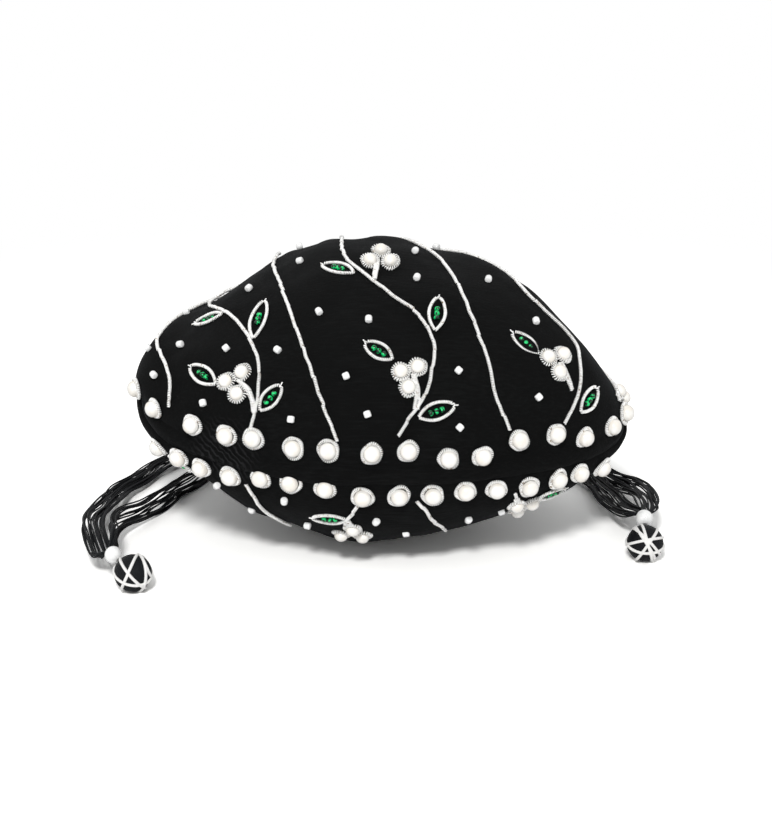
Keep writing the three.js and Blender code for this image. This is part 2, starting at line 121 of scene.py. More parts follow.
class Finish:
    def __init__(self, name, constants):
        self.material = bpy.data.materials.new(name)
        self.material.use_nodes = True
        self.tree = self.material.node_tree
        self.shader = self.tree.nodes["Principled BSDF"]
        for socket, value in constants.items():
            self.shader.inputs[socket].default_value = value

    def feed(self, socket, value):
        if isinstance(value, Socket):
            self.tree.links.new(value.output, socket)
        else:
            socket.default_value = value

    def node(self, kind, settings, inputs, output=0):
        made = self.tree.nodes.new(kind)
        for name, value in settings.items():
            setattr(made, name, value)
        for name, value in inputs.items():
            self.feed(made.inputs[name], value)
        return Socket(self, made.outputs[output])

    def place(self, scale=(1, 1, 1)):
        coordinate = self.node("ShaderNodeTexCoord", {}, {}, "Object")
        return self.node("ShaderNodeMapping", {}, {"Vector": coordinate, "Scale": scale})

    def speckle(self, where, scale, detail, roughness=0.5):
        return self.node("ShaderNodeTexNoise", {}, {
            "Vector": where, "Scale": scale, "Detail": detail, "Roughness": roughness,
        })

    def mixed(self, share, first, second):
        made = self.tree.nodes.new("ShaderNodeMix")
        made.data_type = "RGBA"
        for socket, value in ((made.inputs[0], share), (made.inputs[6], first), (made.inputs[7], second)):
            self.feed(socket, value)
        return Socket(self, made.outputs[2])

    def ramp(self, share, low, high):
        return self.node("ShaderNodeMapRange", {"interpolation_type": "SMOOTHSTEP"}, {
            "Value": share, "From Min": low, "From Max": high,
        })

    def bump(self, height, depth, strength):
        return self.node("ShaderNodeBump", {}, {
            "Height": height, "Distance": depth, "Strength": strength,
        })

    def done(self, **sockets):
        for name, value in sockets.items():
            self.feed(self.shader.inputs[{"colour": "Base Color", "roughness": "Roughness",
                                          "normal": "Normal", "metal": "Metallic",
                                          "coat": "Coat Weight"}[name]], value)
        return self.material


# the lighter ripple colour is painted sheen on the pucker folds, not a colour of the velvet itself
velvetLook = {
    "pileColour": (0.0018, 0.0019, 0.0019, 1), "liftedColour": (0.0044, 0.0047, 0.0047, 1),
    "sheen": 0.02, "sheenTint": (0.55, 0.6, 0.68, 1), "puckerCentre": (-58, -78, 47), "puckerReach": 17,
    "rippleSheenColour": (0.02, 0.02, 0.021, 1), "ripples": 225.0, "rippleStretch": (1.5, 1, 0.8),
    "pile": 2600, "nap": 1300, "napStretch": (0.10, 1, 1), "drift": 34, "depth": 0.0006,
}


def velvetFinish():
    finish = Finish("blackVelvet", {
        "Sheen Weight": velvetLook["sheen"], "Sheen Roughness": 0.35,
        "Sheen Tint": velvetLook["sheenTint"], "Specular IOR Level": 0.09,
    })
    pile = finish.speckle(finish.place(), velvetLook["pile"], 2.0)
    nap = finish.speckle(finish.place(velvetLook["napStretch"]), velvetLook["nap"], 3.0, 0.6)
    drift = finish.speckle(finish.place(), velvetLook["drift"], 3.0)
    where = finish.place()
    centre = onFrame(velvetLook["puckerCentre"])
    apart = finish.node("ShaderNodeVectorMath", {"operation": "DISTANCE"}, {
        0: where, 1: tuple(centre),
    }, 1)
    puckered = 1 - finish.ramp(apart, 0.006, velvetLook["puckerReach"] / 1000)
    ripples = finish.node("ShaderNodeTexWave", {"bands_direction": "DIAGONAL"}, {
        "Vector": finish.place(velvetLook["rippleStretch"]), "Scale": velvetLook["ripples"],
        "Distortion": 4.0, "Detail": 1.0, "Detail Scale": 1.4,
    }, 1)
    # painted sheen: the ripple crests round the pucker get a lighter colour, a painted highlight on the folds;
    # the ripples' bump is real relief
    rippleSheen = finish.ramp(ripples, 0.55, 0.95) * puckered
    lifted = finish.ramp(nap * 0.6 + drift * 0.4, 0.42, 0.68)
    base = finish.mixed(lifted, velvetLook["pileColour"], velvetLook["liftedColour"])
    colour = finish.mixed(rippleSheen * 0.7, base, velvetLook["rippleSheenColour"])
    height = pile * 0.25 + nap * 0.45 + ripples * puckered * 0.9
    normal = finish.bump(height, velvetLook["depth"], 0.8)
    return finish.done(colour=colour, roughness=0.86 + 0.12 * drift, normal=normal)


def satinFinish():
    finish = Finish("blackSatin", {"Sheen Weight": 0.15, "Specular IOR Level": 0.45})
    weave = finish.speckle(finish.place((1, 0.2, 1)), 3000, 1.0)
    crease = finish.speckle(finish.place(), 90, 3.0)
    colour = finish.mixed(crease, (0.010, 0.010, 0.012, 1), (0.022, 0.022, 0.026, 1))
    normal = finish.bump(weave * 0.2 + crease * 0.8, 0.0007, 0.6)
    return finish.done(colour=colour, roughness=0.42 + 0.16 * weave, normal=normal)


def threadFinish():
    finish = Finish("blackThread", {"Sheen Weight": 0.01, "Specular IOR Level": 0.13})
    ply = finish.speckle(finish.place(), 1500, 2.0)
    tone = finish.speckle(finish.place(), 120, 2.0)
    colour = finish.mixed(tone, (0.002, 0.0024, 0.0032, 1), (0.0075, 0.0088, 0.0108, 1))
    normal = finish.bump(ply, 0.0004, 0.8)
    return finish.done(colour=colour, roughness=0.5 + 0.2 * ply, normal=normal)


def whiteThreadFinish():
    finish = Finish("whiteThread", {"Sheen Weight": 0.2})
    ply = finish.speckle(finish.place(), 1800, 2.0)
    colour = finish.mixed(ply, (0.74, 0.73, 0.71, 1), (0.93, 0.92, 0.9, 1))
    return finish.done(colour=colour, roughness=0.6 + 0.15 * ply, normal=finish.bump(ply, 0.0003, 0.8))


def pearlFinish():
    finish = Finish("creamPearl", {"Coat Roughness": 0.08, "IOR": 1.6, "Specular IOR Level": 0.6})
    clouds = finish.speckle(finish.place(), 260, 2.0)
    skin = finish.speckle(finish.place(), 1400, 2.0)
    colour = finish.mixed(finish.ramp(clouds, 0.35, 0.7), (0.93, 0.91, 0.87, 1), (0.86, 0.81, 0.73, 1))
    normal = finish.bump(skin, 0.00012, 0.5)
    return finish.done(colour=colour, roughness=0.2 + 0.1 * clouds, normal=normal, coat=0.5 + 0.3 * clouds)


def beadFinish():
    finish = Finish("whiteGlassBead", {"Coat Roughness": 0.05, "Specular IOR Level": 0.6})
    clouds = finish.speckle(finish.place(), 420, 2.0)
    colour = finish.mixed(clouds, (0.95, 0.95, 0.94, 1), (0.86, 0.86, 0.85, 1))
    return finish.done(colour=colour, roughness=0.14 + 0.12 * clouds, coat=0.6 + 0.2 * clouds,
                       normal=finish.bump(clouds, 0.0002, 0.4))


def seedFinish():
    finish = Finish("greenSeedBead", {"Coat Roughness": 0.08, "Specular IOR Level": 0.35})
    # painted glints: this noise puts bright emerald spots into the dark green base colour, standing in for
    # highlights on the glass seeds
    glow = finish.speckle(finish.place(), 980, 1.0)
    colour = finish.mixed(finish.ramp(glow, 0.49, 0.57), (0.0, 0.018, 0.007, 1), (0.0, 0.62, 0.16, 1))
    return finish.done(colour=colour, roughness=0.2 + 0.15 * glow, coat=0.12 + 0.15 * glow,
                       normal=finish.bump(glow, 0.00015, 0.4))


def wireFinish():
    finish = Finish("silverWire", {"Specular IOR Level": 0.6})
    tarnish = finish.speckle(finish.place(), 900, 3.0, 0.6)
    scratches = finish.speckle(finish.place(), 3200, 2.0)
    dulled = finish.ramp(tarnish, 0.57, 0.7)
    colour = finish.mixed(dulled, (0.97, 0.965, 0.945, 1), (0.34, 0.26, 0.18, 1))
    return finish.done(colour=colour, metal=0.12 + 0.5 * dulled, roughness=0.3 + 0.2 * tarnish,
                       normal=finish.bump(scratches, 0.0001, 0.5))


finishes = {
    "velvet": velvetFinish(), "satin": satinFinish(), "thread": threadFinish(),
    "whiteThread": whiteThreadFinish(), "pearl": pearlFinish(), "bead": beadFinish(),
    "seed": seedFinish(), "wire": wireFinish(),
}
print("finishes made")


def clamp(value):
    return min(1.0, max(0.0, value))


def lerp(first, second, share):
    return first + (second - first) * share


def angleOf(turn):
    return turn - pouch["endCrowding"] * math.sin(2 * turn)


def turnOf(angle):
    turn = angle
    for _ in range(8):
        turn -= (angleOf(turn) - angle) / (1 - 2 * pouch["endCrowding"] * math.cos(2 * turn))
    return turn


def swellAt(swells, place):
    total = 0
    for i, height in enumerate(swells):
        away = abs(place - (pouch["firstSwell"] + i * pouch["swellSpacing"])) / pouch["swellSpacing"]
        if away < 1:
            total += height * (1 + math.cos(math.pi * away)) / 2
    return total


def gathers(turn, depth):
    even = math.cos(mouth["pleats"] * turn)
    fine = (0.3 * math.cos(3 * mouth["pleats"] * turn + 1.3)
            + 0.14 * math.sin(2 * mouth["pleats"] * turn + 0.7))
    return depth * (even + fine * min(1, depth))


def mouthPoint(turn, past, inset, bulge):
    angle = angleOf(turn)
    channel = bulge * clamp(min(past, mouth["channelLength"] - past) / mouth["channelRamp"])
    frill = max(0, (past - mouth["channelLength"]) / mouth["frillLength"])
    pleat = gathers(turn, lerp(mouth["channelPleat"], mouth["frillPleat"], frill))
    flare = frill ** mouth["frillFlarePower"]
    radiusX = mouth["halfWidth"] + channel + mouth["frillFlareX"] * flare + pleat - inset
    radiusZ = mouth["halfHeight"] + channel + mouth["frillFlareZ"] * flare + pleat - inset
    return Vector((mouth["x"] + radiusX * math.cos(angle), mouth["y"] + past,
                   mouth["height"] + radiusZ * math.sin(angle)))


# station: -1 in the middle of the band, 0 at its edge, 1 at the neck, then 1 plus the distance past it
def clothPoint(turn, station, inset=0.0, bulge=0.0):
    if station > 1:
        return mouthPoint(turn, station - 1, inset, bulge)
    across = math.cos(angleOf(turn))
    lift = math.sin(angleOf(turn))
    openness = abs(lift)
    run = max(station, 0)
    band = 1 + min(station, 0)
    gather = (1 - math.cos(math.pi * run)) / 2
    fullness = math.sin(math.pi * run)
    place = 1 - 2 * math.acos(max(-1, min(1, across))) / math.pi
    bandEdge = lerp(pouch["bandHalfMiddle"], pouch["bandHalfEnd"], abs(across) ** pouch["bandEndPower"])
    crest = pouch["crestRise"] + swellAt(pouch["crestSwells"], place) - inset
    belly = pouch["bellyDrop"] + swellAt(pouch["bellySwells"], place) - inset
    if lift > 0:
        rise = crest * openness ** pouch["crestPower"]
    else:
        rise = -belly * openness ** pouch["bellyPower"]
    foldEndX = pouch["middleX"] + (pouch["halfWidth"] - inset) * across
    foldFrontY = (pouch["foldY"] + inset + pouch["foldRoundness"] * (1 - openness)
                  - pouch["bandBulge"] * (1 - band * band))
    foldMiddleZ = lerp(pouch["endHeight"] - pouch["endTilt"] * across, pouch["foldHeight"], openness)
    foldZ = foldMiddleZ + math.copysign(1, lift) * (bandEdge - inset) * math.sqrt(openness) * band
    pleated = clamp((run - mouth["pleatStart"]) / (1 - mouth["pleatStart"]))
    depth = mouth["channelPleat"] * pleated ** 2 + mouth["bodyPleat"] * math.sin(math.pi * pleated)
    pleat = gathers(turn, depth)
    x = lerp(foldEndX, mouth["x"] + (mouth["halfWidth"] - inset) * across, gather)
    y = lerp(foldFrontY, mouth["y"], gather)
    z = lerp(foldZ, mouth["height"] + (mouth["halfHeight"] - inset) * lift, gather)
    return Vector((x + pouch["sideSwell"] * across * fullness + pleat * across, y,
                   max(z + rise * fullness + pleat * lift, inset)))


def clothFrame(degrees, run):
    turn = turnOf(math.radians(degrees))
    point = clothPoint(turn, run)
    acrossWay = clothPoint(turn + 0.004, run) - clothPoint(turn - 0.004, run)
    alongWay = clothPoint(turn, run + 0.004) - clothPoint(turn, max(run - 0.004, 0.0005))
    normal = alongWay.cross(acrossWay).normalized()
    return point, normal


# soft dents of the stuffing under the pile, in millimetres
relief = {"broad": 0.9, "broadSize": 26, "fine": 0.22, "fineSize": 8}


def reliefAt(point):
    broad = noise.noise(point / relief["broadSize"])
    fine = noise.noise(point / relief["fineSize"] + Vector((7, 3, 1)))
    return relief["broad"] * broad + relief["fine"] * fine


def addPiece(name, mesh, finish, nodes):
    piece = linked(name, mesh)
    mesh.materials.clear()
    mesh.materials.append(finishes[finish])
    mesh.polygons.foreach_set("use_smooth", [True] * len(mesh.polygons))
    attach(piece, "root")
    if nodes:
        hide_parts(*nodes)
    return piece


def meshOf(net, name):
    mesh = bpy.data.meshes.new(name)
    net.to_mesh(mesh)
    net.free()
    return mesh


cloth = {
    "velvet": 1.6, "lining": 0.7, "ease": 0.35, "liningSetback": 1.5, "columns": 400,
    "bandRows": 6, "bodyRows": 92, "bodyCrowding": 1.12, "pastSpacing": 0.55, "innerEvery": 3,
    "innerRows": 14, "hem": 0.35,
}
drawstrings = {
    "left": {"way": -1, "y": mouth["y"] + (mouth["channelLength"] - mouth["cordsApart"]) / 2},
    "right": {"way": 1, "y": mouth["y"] + (mouth["channelLength"] + mouth["cordsApart"]) / 2},
}

# stitchFrom and stitchTo are shares of the hole's own half width and half height
buttonhole = {
    "halfWide": 2.2, "halfHigh": 5.6, "depth": 2.4, "edge": 1.15, "edgeOver": 0.35, "pastShare": 0.8,
    "stitches": 26, "stitchFrom": 1.02, "stitchTo": 1.4,
}


def buttonholeAt(point):
    deepest = 0
    for cord in drawstrings.values():
        if (point.x - mouth["x"]) * cord["way"] > mouth["halfWidth"] * buttonhole["pastShare"]:
            far = math.hypot((point.y - cord["y"]) / buttonhole["halfWide"],
                             (point.z - mouth["height"]) / buttonhole["halfHigh"])
            deepest = max(deepest, clamp((buttonhole["edge"] - far) / buttonhole["edgeOver"]))
    return deepest


def clothRows(outer, thickness, reach):
    bandRows, bodyRows, innerRows = cloth["bandRows"], cloth["bodyRows"], cloth["innerRows"]
    whole = mouth["channelLength"] + reach
    band = [-1 + i / bandRows for i in range(bandRows)]
    body = [(i / bodyRows) ** cloth["bodyCrowding"] for i in range(bodyRows + 1)]
    past = [i * cloth["pastSpacing"] for i in range(1, int(whole / cloth["pastSpacing"]))] + [whole]
    stations = band + body + [1 + p for p in past]
    inner = [1 + p for p in reversed(past[::cloth["innerEvery"]])]
    inner += [1 - i / innerRows for i in range(innerRows + 1)] + [-0.5, -1]
    turned = (stations[-1] + cloth["hem"], outer + thickness / 2)
    return [(s, outer) for s in stations] + [turned] + [(s, outer + thickness) for s in inner]


def clothMesh(name, rows, bulge, detailed):
    net = bmesh.new()
    net.loops.layers.uv.new("cloth")
    bmesh.ops.create_grid(net, x_segments=cloth["columns"], y_segments=len(rows) - 1, size=1, calc_uvs=True)
    for vert in net.verts:
        turn = math.pi * (vert.co.x + 1)
        station, inset = rows[round((vert.co.y + 1) / 2 * (len(rows) - 1))]
        point = clothPoint(turn, station, inset, bulge)
        if detailed and inset < 0.1:
            if station < 1:
                fade = clamp((point.z - 0.5) / 6) * clamp((station + 1) * 2.5)
                point = clothPoint(turn, station, inset - reliefAt(point) * fade, bulge)
            elif station < 1 + mouth["channelLength"]:
                sunk = buttonhole["depth"] * buttonholeAt(point)
                point = clothPoint(turn, station, inset + sunk, bulge)
        vert.co = onFrame(point)
    bmesh.ops.remove_doubles(net, verts=net.verts, dist=0.000004)
    bmesh.ops.recalc_face_normals(net, faces=net.faces)
    return meshOf(net, name)


velvetRows = clothRows(0, cloth["velvet"], mouth["frillLength"])
velvet = addPiece("velvetPouch", clothMesh("velvetPouch", velvetRows, mouth["channelBulge"], True),
                  "velvet", ["bag_shell"])
liningRows = clothRows(cloth["velvet"] + cloth["ease"], cloth["lining"],
                       mouth["frillLength"] - cloth["liningSetback"])
addPiece("satinLining", clothMesh("satinLining", liningRows, 0, False), "satin", ["bag_lining"])
print("velvet and lining made", len(velvet.data.polygons))


def smoothCurve(points, steps):
    points = [Vector(p) for p in points]
    spread = [points[0] * 2 - points[1], *points, points[-1] * 2 - points[-2]]
    curve = []
    for i in range(1, len(spread) - 2):
        before, start, end, after = spread[i - 1:i + 3]
        a, b, c = [max((q - p).length, 1e-6) ** 0.5 for p, q in ((before, start), (start, end), (end, after))]
        leave = ((start - before) / a - (end - before) / (a + b) + (end - start) / b) * b
        arrive = ((end - start) / b - (after - start) / (b + c) + (after - end) / c) * b
        for k in range(steps):
            t = k / steps
            curve.append(start * (2 * t ** 3 - 3 * t ** 2 + 1) + leave * (t ** 3 - 2 * t ** 2 + t)
                         + end * (3 * t ** 2 - 2 * t ** 3) + arrive * (t ** 3 - t ** 2))
    return curve + [points[-1]]


# even steps along a line: for each one, the span that it falls in and the share of that span
def stepsAlong(points, spacing, fewest):
    lengths = [0]
    for p, q in zip(points, points[1:]):
        lengths.append(lengths[-1] + (q - p).length)
    count = max(fewest, round(lengths[-1] / spacing))
    found, span = [], 0
    for i in range(count + 1):
        at = lengths[-1] * i / count
        while span < len(points) - 2 and lengths[span + 1] < at:
            span += 1
        gap = max(lengths[span + 1] - lengths[span], 1e-9)
        found.append((span, clamp((at - lengths[span]) / gap)))
    return found


def respaced(points, spacing, fewest=1, measured=None):
    steps = stepsAlong(measured or points, spacing, fewest)
    return [points[span].lerp(points[span + 1], share) for span, share in steps]


def lengthOf(points):
    return sum((q - p).length for p, q in zip(points, points[1:]))


def tubesMesh(name, routes, radius, sides, closed=False):
    data = bpy.data.curves.new(name, "CURVE")
    data.dimensions = "3D"
    data.bevel_depth = radius / 1000
    data.bevel_resolution = (sides - 4) // 2
    data.use_fill_caps = True
    for route in routes:
        spline = data.splines.new("POLY")
        spline.points.add(len(route) - 1)
        spline.points.foreach_set("co", [c for p in route for c in (*onFrame(p), 1)])
        spline.use_cyclic_u = closed
    carrier = linked(name, data)
    mesh = bpy.data.meshes.new_from_object(carrier.evaluated_get(bpy.context.evaluated_depsgraph_get()))
    bpy.data.objects.remove(carrier)
    mesh.name = name
    return mesh


# each drawstring is two skeins of fine thread that end in one bead and ball
skein = {
    "diameter": 5, "spacing": 5.3, "strands": 8, "inStrand": 3, "thread": 0.33, "wide": 4.3, "high": 1.4,
    "step": 2.5, "outermost": 0.93, "ownAcross": 0.13, "ownUp": 0.8, "rollFrom": 40, "rollOver": 30,
    "threadStep": 1.7, "offFloor": 0.08,
}
# the stray threads run on one line until they part from the skein near the tassel
stray = {"count": 2, "out": 4.5, "home": 0.7, "part": 44, "partLater": 9, "partOver": 16, "lessOut": 0.3,
         "joinOver": 14, "rise": 0.2}
channelReach = mouth["halfWidth"] + mouth["channelBulge"] + mouth["channelPleat"]
# the left beadWay carries that bead 2 mm off its solid, to where the photograph shows it
tassels = {
    "left": {
        "ball": ballPlaces["left"], "beadWay": (-0.67, 0.55, 0.38), "skeinWay": (-0.8, 0.58, -0.15),
        "firstSide": -1, "roll": {"a": -36, "b": 36},
        "a": [(-61.5, 62, 39), (-67, 59.5, 25), (-71, 55, 11), (-78, 47, 4.5), (-87, 36, 3.4),
              (-95.3, 23.6, 3.4), (-101, 6.8, 4), (-106.5, -8, 5), (-110.5, -29, 7), (-111.5, -45, 9),
              (-108.5, -63, 9.5), (-103.5, -79.5, 8.3)],
        "b": [(-59, 60.5, 30), (-62, 55, 15), (-65, 47, 6), (-70, 32, 3.4), (-76, 12, 3.4),
              (-82.5, -1, 4), (-88, -18, 5), (-94.6, -31.6, 6), (-100.6, -44, 8), (-102.2, -59, 10.2),
              (-99.8, -73, 11.8)],
    },
    "right": {
        "ball": ballPlaces["right"], "beadWay": (0.05, 0.8, 0.59), "skeinWay": (0.03, 0.99, -0.08),
        "firstSide": 1, "roll": {"a": 34, "b": 34},
        "a": [(13.5, 66.5, 39), (18.5, 65.5, 25), (22, 64, 11), (31, 61, 4.2), (46, 54, 3.4),
              (62, 44, 3.4), (76, 31, 3.4), (86, 18, 3.4), (93.5, 6, 4.2), (98, -3, 5.6),
              (100.3, -15, 8), (101, -30, 10.8), (100.6, -43, 12.5)],
        "b": [(11, 65, 30), (14, 62, 15), (19, 58, 6), (32, 51, 3.4), (48, 42.5, 3.4),
              (64, 33, 3.4), (77, 20, 3.4), (84.5, 5, 3.6), (87.8, -11.5, 5.2), (90, -26.5, 6.8),
              (93, -39.5, 9.4), (95.2, -46.5, 11.5)],
    },
}
ball = {
    "diameter": 14, "bead": 7, "drawnBead": 6.4, "bore": 1.8, "gap": 0.3, "wrap": 0.56, "wrapSunk": 0.12,
    "wrapWave": 0.2, "wrapPoints": 72, "coreIn": 0.25, "windings": 34, "windingDepth": 0.012, "threadsIn": 2.6,
}


def beadCentre(side):
    tassel = tassels[side]
    away = (ball["diameter"] + ball["bead"]) / 2 + ball["gap"]
    return Vector(tassel["ball"]) + Vector(tassel["beadWay"]).normalized() * away


def skeinCentre(side, letter):
    tassel, cord = tassels[side], drawstrings[side]
    upper = 1 if letter == "a" else -1
    height = mouth["height"] + upper * skein["spacing"] / 2
    leaving = [Vector((mouth["x"] + cord["way"] * (channelReach + out), cord["y"], height))
               for out in (ball["gap"], skein["diameter"])]
    way = Vector(tassel["skeinWay"]).normalized()
    sideways = way.cross(Vector((0, 0, 1))).normalized()
    end = (beadCentre(side) + way * (ball["bead"] / 2 + ball["gap"])
           + sideways * upper * tassel["firstSide"] * skein["spacing"] / 2)
    return respaced(smoothCurve([*leaving, *tassel[letter], end], 8), skein["step"])


# the skeins lie rolled over to one side, by the roll in degrees
def carriedFrames(points, roll):
    side = Vector((0, 0, 1)).cross(points[1] - points[0]).normalized()
    frames = []
    for i, point in enumerate(points):
        way = (points[min(i + 1, len(points) - 1)] - points[max(i - 1, 0)]).normalized()
        side = (side - way * side.dot(way)).normalized()
        up = way.cross(side)
        lean = math.radians(roll) * clamp((i * skein["step"] - skein["rollFrom"]) / skein["rollOver"])
        across = side * math.cos(lean) + up * math.sin(lean)
        frames.append((point, way, across, way.cross(across)))
    return frames


def skeinThreads(centre, side, letter):
    hole = beadCentre(side) + Vector(tassels[side]["beadWay"]).normalized() * ball["threadsIn"]
    frames = carriedFrames(centre, tassels[side]["roll"][letter])
    total = len(frames) - 1
    threads = []
    for k in range(skein["strands"]):
        base = lerp(-skein["outermost"], skein["outermost"], k / (skein["strands"] - 1))
        wave = [seeded.uniform(0, 2 * math.pi) for _ in range(3)]
        for _ in range(skein["inStrand"]):
            own = [seeded.uniform(-skein["ownAcross"], skein["ownAcross"]),
                   seeded.uniform(-skein["ownUp"], skein["ownUp"]), seeded.uniform(0, 2 * math.pi)]
            route = []
            for i, (point, _, across, up) in enumerate(frames):
                gone, left = i * skein["step"], (total - i) * skein["step"]
                loose = 0.3 + 0.7 * clamp(left / 30 - 0.6)
                out = base + own[0] + loose * (
                    0.13 * math.sin(gone / 7 + wave[0]) + 0.06 * math.sin(gone / 4 + own[2]))
                rise = own[1] + 0.4 * math.sin(gone / 12 + wave[1])
                route.append(threadPlace(point, across, up, out, rise, gone, left, hole))
            threads.append(respaced(smoothCurve(route, 2), skein["threadStep"]))
    for k in range(stray["count"]):
        route = []
        for i, (point, _, across, up) in enumerate(frames):
            gone, left = i * skein["step"], (total - i) * skein["step"]
            swing = clamp(left / stray["joinOver"])
            swing *= clamp((stray["part"] + stray["partLater"] * k - left) / stray["partOver"])
            farOut = stray["out"] / skein["wide"] - stray["home"] - stray["lessOut"] * k
            out = (stray["home"] + farOut * swing) * drawstrings[side]["way"]
            route.append(threadPlace(point, across, up, out, stray["rise"], gone, left, hole))
        threads.append(respaced(smoothCurve(route, 2), skein["threadStep"]))
    return threads


def threadPlace(point, across, up, out, rise, gone, left, hole):
    opened = 0.4 + 0.6 * clamp(gone / 12) * clamp(left / 10 + 0.35)
    outmost = stray["out"] / skein["wide"]
    out = max(-outmost, min(outmost, out))
    place = point + (across * skein["wide"] * out + up * skein["high"] * max(-1, min(1, rise))) * opened
    near = clamp(1 - left / 11)
    place = place.lerp(hole, 0.55 * near * near)
    place.z = max(place.z, skein["thread"] + skein["offFloor"])
    return place


def makeBead(side):
    net = bmesh.new()
    radius, bore = ball["drawnBead"] / 2, ball["bore"] / 2
    reach = math.acos(bore / radius)
    outline = [net.verts.new((radius * math.cos(a), 0, radius * math.sin(a)))
               for a in (lerp(-reach, reach, i / 16) for i in range(17))]
    outline.append(net.verts.new((bore, 0, 0)))
    edges = [net.edges.new((p, q)) for p, q in zip(outline, outline[1:] + outline[:1])]
    bmesh.ops.spin(net, geom=[*outline, *edges], cent=(0, 0, 0), axis=(0, 0, 1), dvec=(0, 0, 0),
                   angle=2 * math.pi, steps=28, use_merge=True)
    bmesh.ops.remove_doubles(net, verts=net.verts, dist=0.0001)
    bmesh.ops.recalc_face_normals(net, faces=net.faces)
    turn = Vector((0, 0, 1)).rotation_difference(Vector(tassels[side]["beadWay"]))
    centre = beadCentre(side)
    for vert in net.verts:
        vert.co = onFrame(centre + turn @ vert.co)
    name = f"whiteBead_{side}"
    return addPiece(name, meshOf(net, name), "bead", [f"tassel_bead_{side}"])


# each loop of white thread: its angle seen from the front, how far it lies off the ball's middle,
# and how far it leans
ballWraps = {
    "left": [(-49, 0.2, 0), (65, -1.1, 0), (-12, 0, 33), (90, 2.4, 27), (-64, -5.7, 0)],
    "right": [(-45, -1, 0), (-74, -0.4, 0), (55, 0.5, 0), (11.5, -0.9, -4), (-4, 0.4, 26), (-60, 0.1, 0)],
}


def makeBall(side):
    centre = Vector(tassels[side]["ball"])
    radius = ball["diameter"] / 2
    net = bmesh.new()
    bmesh.ops.create_uvsphere(net, u_segments=96, v_segments=48, radius=radius - ball["coreIn"])
    turn = Vector((0, 0, 1)).rotation_difference(Vector(tassels[side]["beadWay"]))
    for vert in net.verts:
        wound = math.sin(ball["windings"] * math.atan2(vert.co.y, vert.co.x)
                         + 3 * math.sin(3 * vert.co.z / radius))
        steady = clamp(math.hypot(vert.co.x, vert.co.y) / radius * 2)
        vert.co = onFrame(centre + turn @ (vert.co * (1 + ball["windingDepth"] * wound * steady)))
    core = addPiece(f"threadBall_{side}", meshOf(net, f"threadBall_{side}"), "thread",
                    [f"tassel_ball_{side}"])
    lift = math.radians(view["elevation"])
    toEye = Vector((0, -math.cos(lift), math.sin(lift)))
    right = Vector((1, 0, 0))
    up = right.cross(-toEye).normalized()
    loops = []
    for degrees, off, lean in ballWraps[side]:
        axis = right * math.cos(math.radians(degrees)) + up * math.sin(math.radians(degrees))
        facing = Quaternion(axis, math.radians(lean)) @ toEye
        normal = axis.cross(facing).normalized()
        loopRadius = math.sqrt(radius ** 2 - off ** 2) - ball["wrapSunk"]
        loop = []
        for i in range(ball["wrapPoints"]):
            t = 2 * math.pi * i / ball["wrapPoints"]
            place = centre + normal * (off + ball["wrapWave"] * math.sin(2 * t + degrees)) + (
                axis * math.sin(t) + facing * math.cos(t)) * loopRadius
            place.z = max(place.z, ball["wrap"])
            loop.append(place)
        loops.append(loop)
    wraps = addPiece(f"whiteWraps_{side}", tubesMesh(f"whiteWraps_{side}", loops, ball["wrap"], 8, True),
                     "whiteThread", [])
    return core, wraps


for side in ("left", "right"):
    bead = makeBead(side)
    core, wraps = makeBall(side)
    for letter in "ab":
        centre = skeinCentre(side, letter)
        name = f"skein_{side}_{letter}"
        piece = addPiece(name, tubesMesh(name, skeinThreads(centre, side, letter), skein["thread"], 6),
                         "thread", [f"drawstring_{side}_{letter}"])
        path = [tuple(onFrame(p)) for p in centre]
        lengthOf(centre) / 1000
        print(name, "length", round(lengthOf(centre)), "mm")

for side in ("left", "right"):
    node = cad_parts[f"channel_cord_{side}"]
    node.data.materials.clear()
    node.data.materials.append(finishes["thread"])


# the embroidery is coiled silver wire
wire = {
    "thickness": 0.26, "coil": 0.47, "pitch": 0.62, "points": 8, "lift": 0.66,
    "bit": 5, "bitVaries": 0.3, "bitShift": 0.2, "bitLean": 0.5, "runScale": 150, "stalkApart": 0.28,
    "leafCoil": 0.92,
}


# places are in degrees round the pouch and in runs, from 0 at the band's edge to 1 at the neck
def placesAlong(places, spacing):
    runScale = wire["runScale"]
    plan = smoothCurve([Vector((degrees, run * runScale, 0)) for degrees, run in places], 24)
    onCloth = [clothPoint(turnOf(math.radians(p.x)), p.y / runScale) for p in plan]
    return [(spot.x, spot.y / runScale) for spot in respaced(plan, spacing, 4, onCloth)]


def sidewaysAt(frames, i):
    ahead = frames[min(i + 1, len(frames) - 1)][0] - frames[max(i - 1, 0)][0]
    return ahead.cross(frames[i][1]).normalized()


def coilOn(frames, coil, pitch, spacing, lift):
    route = []
    for i, (point, normal) in enumerate(frames):
        sideways = sidewaysAt(frames, i)
        turn = 2 * math.pi * i * spacing / pitch
        route.append(point + normal * (lift + coil * math.sin(turn)) + sideways * coil * math.cos(turn))
    return route


# the wire is sewn down in short bits that don't quite line up
def unevenly(frames, spacing):
    uneven, inBit = [], 0
    for i, (point, normal) in enumerate(frames):
        if inBit <= 0:
            bit = wire["bit"] * seeded.uniform(1 - wire["bitVaries"], 1 + wire["bitVaries"]) / spacing
            inBit = bit
            shift = seeded.uniform(-wire["bitShift"], wire["bitShift"])
            lean = seeded.uniform(-wire["bitLean"], wire["bitLean"])
        inBit -= 1
        uneven.append((point + sidewaysAt(frames, i) * (shift + lean * (inBit / bit - 0.5)), normal))
    return uneven


def coilAlong(places):
    spacing = wire["pitch"] / wire["points"]
    frames = unevenly([clothFrame(*place) for place in placesAlong(places, spacing)], spacing)
    return coilOn(frames, wire["coil"], wire["pitch"], spacing, wire["lift"])


